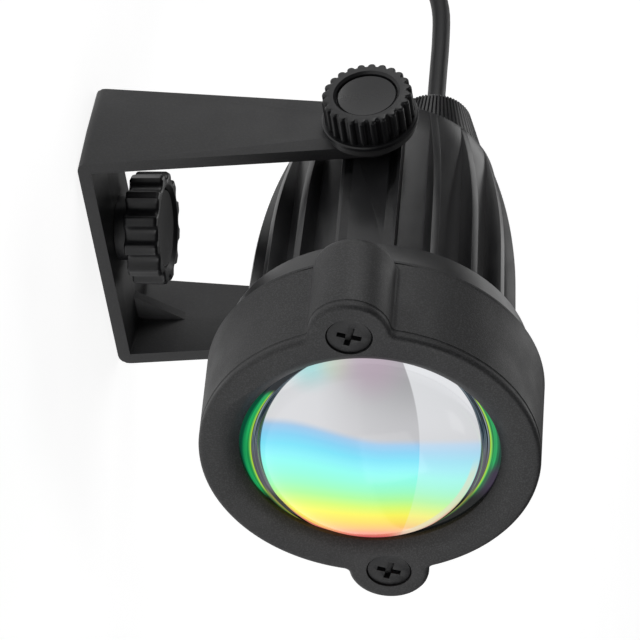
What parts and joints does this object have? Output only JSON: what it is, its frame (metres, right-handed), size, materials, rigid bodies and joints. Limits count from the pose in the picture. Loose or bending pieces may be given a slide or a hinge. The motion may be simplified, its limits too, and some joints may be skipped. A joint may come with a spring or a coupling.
{
  "type": "sunset lamp",
  "caption": "Small projector lamp with a finned tapering body, a domed lens in a ringed front, a tilting U bracket with knobs, and a cord ending in a flat plug.",
  "frame": {"origin": "centre of the stand hole at the outer face of the bracket's plate", "axes": "+Z from the plate to the lamp head, -Y the way the lamp shines, X along the tilt axis"},
  "size_m": [0.1009, 0.2505, 0.1013],
  "materials": {
    "housing_plastic": "moulded black, fine matt grain",
    "bezel_plastic": "moulded black, fine sparkled grain",
    "bracket_plastic": "moulded black, smooth matt",
    "knob_plastic": "moulded black, satin",
    "inset_plastic": "moulded black, polished",
    "screw_steel": "blackened steel",
    "bolt_steel": "zinc-plated steel",
    "brass": "turned, knurled outside",
    "seal_rubber": "moulded black rubber",
    "washer_plastic": "smooth black nylon",
    "lens_glass": "clear, polished, slightly coated",
    "filter_glass": "dichroic coating, orange to blue rings",
    "holder_plastic": "moulded black",
    "spring_steel": "sprung wire",
    "aluminium": "bare turned aluminium",
    "board": "white solder mask on glass laminate",
    "driver_laminate": "green solder mask on glass laminate",
    "led_resin": "clear dome over yellow phosphor",
    "component_dark": "dark sleeve",
    "lead_insulation": "coloured insulation",
    "cord_jacket": "soft black PVC, satin",
    "plug_plastic": "moulded black",
    "plug_steel": "nickel-plated sheet",
    "tongue_plastic": "white moulded insert",
    "tie_nylon": "black hook-and-loop strap"
  },
  "bodies": {
    "bracket": {"yoke_bracket": "bracket_plastic", "knob_washers": "washer_plastic", "cord_run": "cord_jacket", "cord_coil": "cord_jacket", "cord_tail": "cord_jacket", "coil_tie": "tie_nylon", "plug_boot": "plug_plastic", "plug_body": "plug_plastic", "plug_shell": "plug_steel", "plug_tongue": "tongue_plastic"},
    "bracket_knob": {"base_knob": "knob_plastic", "base_knob_inset": "inset_plastic", "base_insert": "brass"},
    "left_tilt_knob": {"tilt_knob_left": "knob_plastic", "knob_inset_left": "inset_plastic", "tilt_bolt_left": "bolt_steel"},
    "right_tilt_knob": {"tilt_knob_right": "knob_plastic", "knob_inset_right": "inset_plastic", "tilt_bolt_right": "bolt_steel"},
    "lamp_head": {"bezel_ring": "bezel_plastic", "bezel_screws": "screw_steel", "finned_housing": "housing_plastic", "front_lens": "lens_glass", "lens_gasket": "seal_rubber", "filter_holder": "holder_plastic", "colour_filter": "filter_glass", "filter_clip": "spring_steel", "light_tube": "holder_plastic", "heat_spreader": "aluminium", "led_board": "board", "led_emitter": "led_resin", "board_screws": "bolt_steel", "driver_board": "driver_laminate", "driver_inductor": "component_dark", "driver_capacitor": "component_dark", "led_leads": "lead_insulation", "supply_leads": "lead_insulation", "gland_nut": "knob_plastic", "gland_seal": "seal_rubber", "cord_end": "cord_jacket", "pivot_inserts": "brass", "friction_washers": "washer_plastic"}
  },
  "joints": [
    {"name": "head_tilt", "type": "hinge", "parent": "bracket", "child": "lamp_head", "pos_m": [0, 0, 0.0617], "axis": [1, 0, 0], "range_deg": [-86, 35], "deforming": ["cord_run"]},
    {"name": "left_knob_turn", "type": "hinge", "parent": "lamp_head", "child": "left_tilt_knob", "pos_m": [-0.035, 0, 0.0617], "axis": [1, 0, 0], "continuous": true},
    {"name": "right_knob_turn", "type": "hinge", "parent": "lamp_head", "child": "right_tilt_knob", "pos_m": [0.035, 0, 0.0617], "axis": [1, 0, 0], "continuous": true},
    {"name": "bracket_knob_turn", "type": "hinge", "parent": "bracket", "child": "bracket_knob", "pos_m": [0, 0, 0.01], "axis": [0, 0, 1], "continuous": true}
  ]
}
